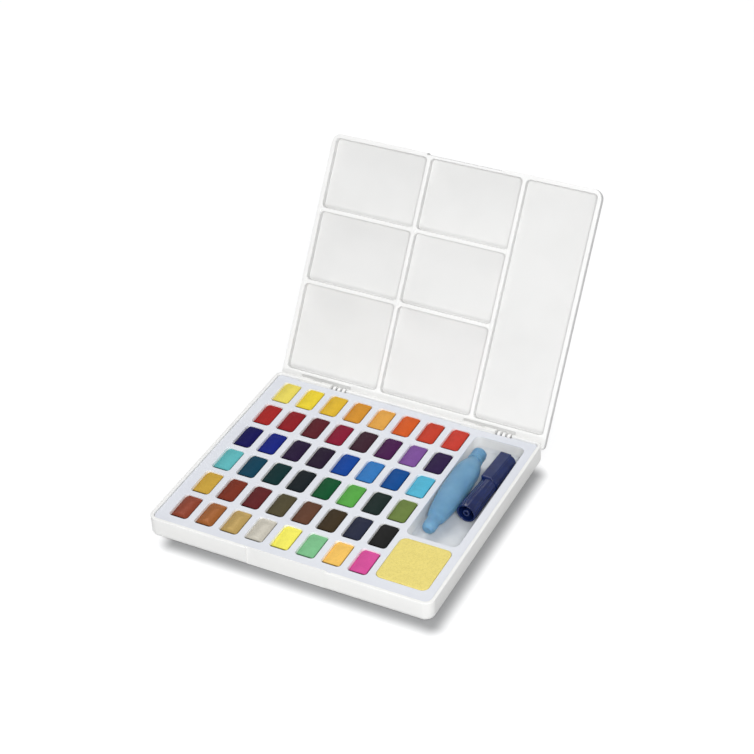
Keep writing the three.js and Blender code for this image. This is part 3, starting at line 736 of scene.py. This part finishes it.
TANK_X, TANK_FRONT, TANK_LENGTH, NECK_LENGTH = 59.2, -18, 73.5, 9
TANK_HALF_WIDTH, TANK_HALF_HEIGHT, TANK_TILT = 7.85, 7.4, 2
NECK_RADIUS, NECK_BORE, NECK_BORE_DEPTH, NECK_EDGE = 4.2, 2.4, 7, 0.3
THREAD_RADIUS, THREAD_PITCH, THREAD_TURNS, THREAD_FOOT, THREAD_CREST = 4.55, 2.1, 3, 0.75, 0.12
COLLAR_RISE = 0.5
# Shares of the barrel's length from its tail, and of its greatest half width.
TANK_STATIONS = (
    (0, 0.24),
    (0.007, 0.38),
    (0.022, 0.47),
    (0.045, 0.52),
    (0.145, 0.54),
    (0.18, 0.67),
    (0.22, 0.75),
    (0.32, 0.86),
    (0.41, 0.94),
    (0.52, 0.99),
    (0.65, 1),
    (0.79, 0.98),
    (0.87, 0.92),
    (0.94, 0.76),
    (0.98, 0.61),
)


def eased(stations, count):
    """Points along a smooth curve through the stations (Catmull-Rom)."""
    padded = [stations[0], *stations, stations[-1]]
    points = []
    for i in range(1, len(padded) - 2):
        p0, p1, p2, p3 = (Vector(p) for p in padded[i - 1 : i + 3])
        for step in range(count):
            t = step / count
            bend = 2 * p0 - 5 * p1 + 4 * p2 - p3
            twist = 3 * p1 - p0 - 3 * p2 + p3
            points.append(0.5 * ((2 * p1) + (p2 - p0) * t + bend * t**2 + twist * t**3))
    points.append(Vector(stations[-1]))
    return points


def tank_place():
    tilt = math.radians(TANK_TILT)
    body = TANK_LENGTH - NECK_LENGTH
    drop = [w * TANK_HALF_HEIGHT * math.cos(tilt) - s * body * math.sin(tilt) for s, w in TANK_STATIONS]
    spot = Vector((TANK_X, TANK_FRONT, TRAY_FLOOR + SEAT + max(drop))) * MM
    return Matrix.Translation(spot) @ Matrix.Rotation(tilt, 4, "X")


def tank():
    body = TANK_LENGTH - NECK_LENGTH
    oval = TANK_HALF_HEIGHT / TANK_HALF_WIDTH
    profile = [((0.7, 0.7), 0.25), ((1.2, 1.2), 0.08)]
    for share, width in eased(TANK_STATIONS, 5):
        half = width * TANK_HALF_WIDTH
        profile.append(((half, half * oval), share * body))
    collar = NECK_RADIUS + COLLAR_RISE
    profile += [(NECK_RADIUS, body + 0.6), (collar, body + 0.9)]
    profile += [(collar, body + 1.6), (NECK_RADIUS, body + 1.9)]
    for turn in range(THREAD_TURNS, 0, -1):
        middle = TANK_LENGTH - turn * THREAD_PITCH
        profile += [(NECK_RADIUS, middle - THREAD_FOOT), (THREAD_RADIUS, middle - THREAD_CREST)]
        profile += [(THREAD_RADIUS, middle + THREAD_CREST), (NECK_RADIUS, middle + THREAD_FOOT)]
    profile += [(NECK_RADIUS, TANK_LENGTH - NECK_EDGE), (NECK_RADIUS - NECK_EDGE, TANK_LENGTH)]
    profile += [(NECK_BORE + NECK_EDGE, TANK_LENGTH), (NECK_BORE, TANK_LENGTH - NECK_EDGE)]
    profile.append((NECK_BORE, TANK_LENGTH - NECK_BORE_DEPTH))
    return mesh_of([turned_y(profile, 56)], "tank")


piece(
    "tank",
    tank(),
    tank_blue,
    "tank",
    "water_tank",
    sharp=40,
    place=tank_place(),
    weighted=False,
)


# Brush head

BRUSH_X, BRUSH_FRONT_Y, BRUSH_TURN = 73.2, 4, 3
GRIP_RADIUS, GRIP_BACK_RADIUS, GRIP_LENGTH = 6.1, 5.1, 29.5
GRIP_RIB, GRIP_RIBS, GRIP_RIB_END = 0.35, 14, 2.2
SOCKET_RADIUS, SOCKET_MOUTH, SOCKET_DEPTH = 4.9, 5.25, 9
FEED_RADIUS, FEED_BORE, FEED_LENGTH, FEED_DEPTH = 2.2, 1.1, 9.6, 18
FERRULE_RADIUS, FERRULE_LENGTH, BRISTLE_RADIUS = 3.2, 7, 1.7
CAP_LENGTH, CAP_RADIUS, CAP_WALL, CAP_BORE, CAP_ROUND = 26, 5.5, 1.1, 4.4, 1.1
CLIP_REACH, CLIP_LAP, CLIP_RISE, CLIP_DEPTH = 5, 2.3, 0.4, 3
BRUSH_Z = TRAY_FLOOR + SEAT + GRIP_RADIUS + GRIP_RIB / 2
# The tuft's radius at distances from the ferrule's tip
TUFT_STATIONS = (
    (1.68, -3.2),
    (1.7, 0),
    (1.86, 2.4),
    (1.95, 4.8),
    (1.75, 7.2),
    (1.2, 9.6),
    (0.6, 11.2),
    (0.12, 12),
)
TUFT_LOCKS, TUFT_RIDGE = 26, 0.06


def brush_place():
    spot = Vector((BRUSH_X, BRUSH_FRONT_Y, BRUSH_Z)) * MM
    turn = Matrix.Rotation(-math.radians(BRUSH_TURN), 4, "Z")
    return Matrix.Translation(spot) @ turn


def grip():
    """The ribbed grip, its open socket with the feed tube, and the ferrule."""
    steps = GRIP_RIBS * 10
    inner = GRIP_RADIUS - GRIP_RIB / 2
    rib_back = GRIP_LENGTH - GRIP_RIB_END / 2 - 0.15
    stations = [(0, 0, -0.35), (0.12, 0, -0.12), (0.4, 0, 0), (GRIP_RIB_END - 0.3, 0, 0)]
    stations += [(GRIP_RIB_END, 0.6, 0), (GRIP_RIB_END + 0.5, 1, 0), (rib_back - 0.5, 1, 0)]
    stations += [(rib_back, 0.6, 0), (rib_back + 0.1, 0, -0.1)]
    rings = []
    for distance, rib, extra in stations:
        outline = []
        for step in range(steps):
            angle = 2 * math.pi * step / steps
            wave = math.cos(GRIP_RIBS * angle)
            ridge = GRIP_RIB * rib * (0.5 + 0.5 * math.copysign(abs(wave) ** 0.5, wave))
            narrowing = 1 - (1 - GRIP_BACK_RADIUS / GRIP_RADIUS) * distance / GRIP_LENGTH
            reach = (inner + extra + ridge) * narrowing
            outline.append(Vector((reach * math.cos(angle), distance, reach * math.sin(angle))))
        rings.append(outline)
    tip = GRIP_LENGTH + FERRULE_LENGTH
    tail = [(4.25, rib_back + 0.12), (4.25, GRIP_LENGTH - 0.2), (FERRULE_RADIUS + 0.2, GRIP_LENGTH)]
    tail += [(FERRULE_RADIUS, GRIP_LENGTH + 0.3), (FERRULE_RADIUS, tip - 0.5)]
    tail += [(FERRULE_RADIUS - 0.5, tip), (BRISTLE_RADIUS + 0.3, tip), (BRISTLE_RADIUS + 0.3, tip - 3.5)]
    rings += turned_y(tail, steps)
    socket = [(SOCKET_MOUTH, -OVERRUN), (SOCKET_MOUTH, 0), (SOCKET_RADIUS, 0.35)]
    socket.append((SOCKET_RADIUS, SOCKET_DEPTH))
    feed = [(1.4, 0.3), (FEED_RADIUS - 0.25, 0.3), (FEED_RADIUS, 0.55), (FEED_RADIUS, FEED_LENGTH)]
    return carved(
        [rings],
        ("DIFFERENCE", [turned_y(socket, 64)]),
        ("UNION", [turned_y(feed, 40)]),
        ("DIFFERENCE", [turned_y([(FEED_BORE, -OVERRUN), (FEED_BORE, FEED_DEPTH)], 24)]),
    )


def bristles():
    """A tuft of fine hairs drawn to a point, each ridge a lock of them."""
    end = GRIP_LENGTH + FERRULE_LENGTH
    steps = TUFT_LOCKS * 4
    rings = []
    for radius, distance in eased(TUFT_STATIONS, 4):
        outline = []
        for step in range(steps):
            angle = 2 * math.pi * step / steps
            share = 0.5 + 0.5 * math.cos(TUFT_LOCKS * angle)
            ridge = 1 - TUFT_RIDGE * share * min(1, max(0, distance / 3))
            reach = radius * ridge
            outline.append(Vector((reach * math.cos(angle), end + distance, reach * math.sin(angle))))
        rings.append(outline)
    return mesh_of([rings], "tuft")


def cap():
    front = GRIP_LENGTH - GRIP_RIB_END / 2
    back = front + CAP_LENGTH
    tube = [(CAP_RADIUS - 0.2, front), (CAP_RADIUS, front + 0.2), (CAP_RADIUS, back - 1.6)]
    for a in quarter(4):
        tube.append((CAP_RADIUS - CAP_ROUND * (1 - math.cos(a)), back - CAP_ROUND + CAP_ROUND * math.sin(a)))
    clip = plan(-CLIP_REACH, CLIP_LAP, front, back, 0.9)
    top = CAP_RADIUS + CLIP_RISE
    bore = [(CAP_BORE, front - OVERRUN), (CAP_BORE, back - 1.4), (CAP_BORE - 0.5, back - CAP_WALL)]
    return carved(
        [turned_y(tube, 64)],
        ("UNION", [block(clip, top - CLIP_DEPTH, top, foot=0.3, crown=0.9, steps=6, edge_steps=5)]),
        ("DIFFERENCE", [turned_y(bore, 48)]),
    )


head = "brush_head"
hair = bristle_finish()
piece("grip", grip(), navy, head, "brush_grip", sharp=40, place=brush_place(), weighted=False)
piece(
    "tuft",
    bristles(),
    hair,
    head,
    "brush_bristles",
    sharp=80,
    place=brush_place(),
    weighted=False,
)
piece("cap", cap(), navy, "brush_cap", "brush_cap", place=brush_place())


# Lid, drawn shut about the hinge's axis and turned open


def lid_teeth():
    """The lid's knuckles round the pin, and the arms that join them to the lid."""
    knuckles, arms = [], []
    for start in STATIONS:
        for tooth in range(TEETH):
            left = start + LUG_LENGTH + LUG_GAP + tooth * TOOTH_PITCH
            knuckles.append(bar_x(BARREL_RADIUS, left, left + TOOTH_WIDTH, 0, 0, edge=0.15))
            arms.append(box(left, left + TOOTH_WIDTH, -ARM_HALF, ARM_HALF, 0, LID_RIM + ARM_RISE))
    return knuckles, arms


def lid_wells():
    """Cutters of the mixing wells, and of the slabs that let the cross ribs stop short of the rim."""
    edges = [side for rib in LONG_RIBS for side in (rib - RIB_HALF, rib + RIB_HALF)]
    sides = (-LID_HALF + LID_SIDE_WALL, *edges, LID_HALF - LID_SIDE_WALL)
    front = -(LID_FRONT - LID_FRONT_WALL)
    ends = (WELL_BACK, *[side for rib in CROSS_RIBS for side in (rib + RIB_HALF, rib - RIB_HALF)], front)
    ribs_top = LID_RIM + CROSS_RIB_DROP
    wells, slabs = [], []
    for column in range(3):
        left, right = sides[2 * column], sides[2 * column + 1]
        whole = plan(left, right, front, WELL_BACK, WELL_RADIUS)
        if column == 2:
            wells.append(hollow(whole, LID_FLOOR, LID_RIM, foot=WELL_FILLET, lip=0.3, steps=8, up=-1))
            continue
        for well in range(3):
            area = plan(left, right, ends[2 * well + 1], ends[2 * well], WELL_RADIUS)
            wells.append(hollow(area, LID_FLOOR, ribs_top, foot=WELL_FILLET, lip=0, steps=8, up=-1))
        slabs.append(hollow(whole, ribs_top, LID_RIM, lip=0.3, steps=8, up=-1))
    return wells, slabs


def lid_shell():
    radii = (FRONT_RADIUS, FRONT_RADIUS, LID_BACK, LID_BACK)
    outer = plan(-LID_HALF, LID_HALF, -LID_FRONT, LID_BACK, radii)
    wells, slabs = lid_wells()
    knuckles, arms = lid_teeth()
    top = LID_RIM + LID_DEPTH
    channels, holes = [], []
    for start in STATIONS:
        end = start + STATION_LENGTH
        area = plan(start - LUG_GAP, end + LUG_GAP, CHANNEL_FRONT, CHANNEL_BACK, 0.5)
        channels.append(block(area, LID_RIM - OVERRUN, LID_RIM + CHANNEL_DEPTH, steps=3))
        holes.append(bar_x(PIN_HOLE, start + LUG_LENGTH, end + OVERRUN, 0, 0, 20))
    pip_front, pip_back = -LID_FRONT + 1.4, -LID_FRONT + 2
    pip = box(CATCH_X - PIP_HALF, CATCH_X + PIP_HALF, pip_front, pip_back, LID_RIM - 0.5, LID_RIM + 0.5, 0.1)
    return carved(
        [block(outer, LID_RIM, top, foot=0.35, crown=LID_CROWN, steps=12, edge_steps=6)],
        ("DIFFERENCE", wells),
        ("DIFFERENCE", slabs),
        ("DIFFERENCE", channels),
        ("UNION", arms),
        ("UNION", knuckles),
        ("DIFFERENCE", holes),
        ("UNION", [pip]),
        ("DIFFERENCE", [recess(LID_RIM - OVERRUN, top + OVERRUN, -LID_FRONT)]),
    )


hinge_turn = Matrix.Rotation(-math.radians(OPEN_ANGLE), 4, "X")
hinge = Matrix.Translation(Vector((0, HINGE_Y, HINGE_Z)) * MM) @ hinge_turn
piece("lid", lid_shell(), lid_white, "lid", "lid_shell", place=hinge)

for pin in ("hinge_pin_left", "hinge_pin_right"):
    pin_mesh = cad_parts[pin].data
    pin_mesh.materials.clear()
    pin_mesh.materials.append(steel_finish())


# Floor, light and camera


# In metres: how far the footprint without glow, which is a painted shadow, is shifted, and where the glow
# round it starts and is whole
SHADOW_SHIFT_X, SHADOW_SHIFT_Y = 0.009, -0.008
GLOW_START, GLOW_WHOLE, GLOW = 0.0006, 0.0125, 0.7
FLOOR_COLOUR = (0.41, 0.413, 0.42, 1)
WHITE = (1, 1, 1, 1)


def vector_math(nodes, links, operation, first, second=None):
    node = nodes.new("ShaderNodeVectorMath")
    node.operation = operation
    links.new(first, node.inputs[0])
    if second is not None:
        node.inputs[1].default_value = second
    return node.outputs["Value" if operation == "LENGTH" else "Vector"]


def glow_beyond_painted_shadow(nodes, links):
    """The floor's glow: none on a footprint shifted from the case's, which is a painted shadow, and rising
    beyond it.
    """
    place = nodes.new("ShaderNodeTexCoord").outputs["Object"]
    centred = vector_math(nodes, links, "SUBTRACT", place, (SHADOW_SHIFT_X, SHADOW_SHIFT_Y, 0))
    mirrored = vector_math(nodes, links, "ABSOLUTE", centred)
    painted_shadow_footprint = (CASE_RIGHT * MM - SHADOW_SHIFT_X, CASE_BACK * MM + SHADOW_SHIFT_Y, 0)
    beyond = vector_math(nodes, links, "SUBTRACT", mirrored, painted_shadow_footprint)
    outside = vector_math(nodes, links, "MAXIMUM", beyond, (0, 0, 0))
    distance = vector_math(nodes, links, "LENGTH", outside)
    rise = nodes.new("ShaderNodeMapRange")
    rise.interpolation_type = "SMOOTHSTEP"
    rise.inputs["From Min"].default_value = GLOW_START
    rise.inputs["From Max"].default_value = GLOW_WHOLE
    rise.inputs["To Min"].default_value = 0.0
    rise.inputs["To Max"].default_value = GLOW
    links.new(distance, rise.inputs["Value"])
    return rise.outputs["Result"]


def floor():
    """A plain floor; its glow is seen by the camera and in glossy and clear surfaces, and lights nothing;
    where it is missing round the case, a painted shadow deepens the cast one.
    """
    bm = bmesh.new()
    corners = [bm.verts.new((x, y, 0)) for x, y in ((-4, -4), (4, -4), (4, 6), (-4, 6))]
    bm.faces.new(corners)
    mesh = bpy.data.meshes.new("floor")
    bm.to_mesh(mesh)
    bm.free()
    material = bpy.data.materials.new("floor")
    material.use_nodes = True
    nodes, links = material.node_tree.nodes, material.node_tree.links
    shader = nodes["Principled BSDF"]
    shader.inputs["Base Color"].default_value = FLOOR_COLOUR
    shader.inputs["Roughness"].default_value = 0.9
    shader.inputs["Specular IOR Level"].default_value = 0.0
    shader.inputs["Emission Color"].default_value = WHITE
    rays = nodes.new("ShaderNodeLightPath").outputs
    glow = rays["Is Camera Ray"]
    steps = (
        ("MAXIMUM", rays["Is Glossy Ray"]),
        ("MAXIMUM", rays["Is Transmission Ray"]),
        ("MULTIPLY", glow_beyond_painted_shadow(nodes, links)),
    )
    for operation, other in steps:
        node = nodes.new("ShaderNodeMath")
        node.operation = operation
        links.new(glow, node.inputs[0])
        links.new(other, node.inputs[1])
        glow = node.outputs["Value"]
    links.new(glow, shader.inputs["Emission Strength"])
    mesh.materials.append(material)
    obj = bpy.data.objects.new("floor", mesh)
    bpy.context.scene.collection.objects.link(obj)


# Each lamp's name, place, target, width, depth (metres) and power (watts)
LAMPS = (
    ("key", (0.6, -0.85, 0.95), (0, 0, 0), 0.4, 0.4, 9.5),
    ("top", (-0.42, 0.5, 1.05), (0, 0, 0), 0.5, 0.5, 3),
    ("front fill", (0.25, -1.5, 0.22), (0, 0, 0.03), 1.2, 0.3, 5.4),
    ("right fill", (1.5, -0.25, 0.25), (0, 0, 0.03), 1.0, 0.3, 0.4),
)
WORLD_STRENGTH = 0.45
# The camera fitted to the photograph: lens and sensor in millimetres, place in metres, turn in radians
LENS, SENSOR = 93.13, 36
CAMERA_PLACE = (0.43398, -0.77040, 0.73127)
CAMERA_TURN = (0.939765, 0.034927, 0.465867)


def lamp(name, spot, target, width, depth, power):
    data = bpy.data.lights.new(name, "AREA")
    data.shape, data.size, data.size_y, data.energy = "RECTANGLE", width, depth, power
    obj = bpy.data.objects.new(name, data)
    obj.location = spot
    obj.rotation_euler = (Vector(target) - Vector(spot)).to_track_quat("-Z", "Y").to_euler()
    bpy.context.scene.collection.objects.link(obj)


floor()
for row in LAMPS:
    lamp(*row)

world = bpy.data.worlds.new("studio")
world.use_nodes = True
world.node_tree.nodes["Background"].inputs["Color"].default_value = WHITE
world.node_tree.nodes["Background"].inputs["Strength"].default_value = WORLD_STRENGTH
bpy.context.scene.world = world
bpy.context.scene.view_settings.view_transform = "Standard"

lens = bpy.data.cameras.new("camera")
lens.lens, lens.sensor_width = LENS, SENSOR
lens.clip_start, lens.clip_end = 0.05, 20
camera = bpy.data.objects.new("camera", lens)
camera.location = CAMERA_PLACE
camera.rotation_euler = Euler(CAMERA_TURN, "XYZ")
bpy.context.scene.collection.objects.link(camera)
bpy.context.scene.camera = camera
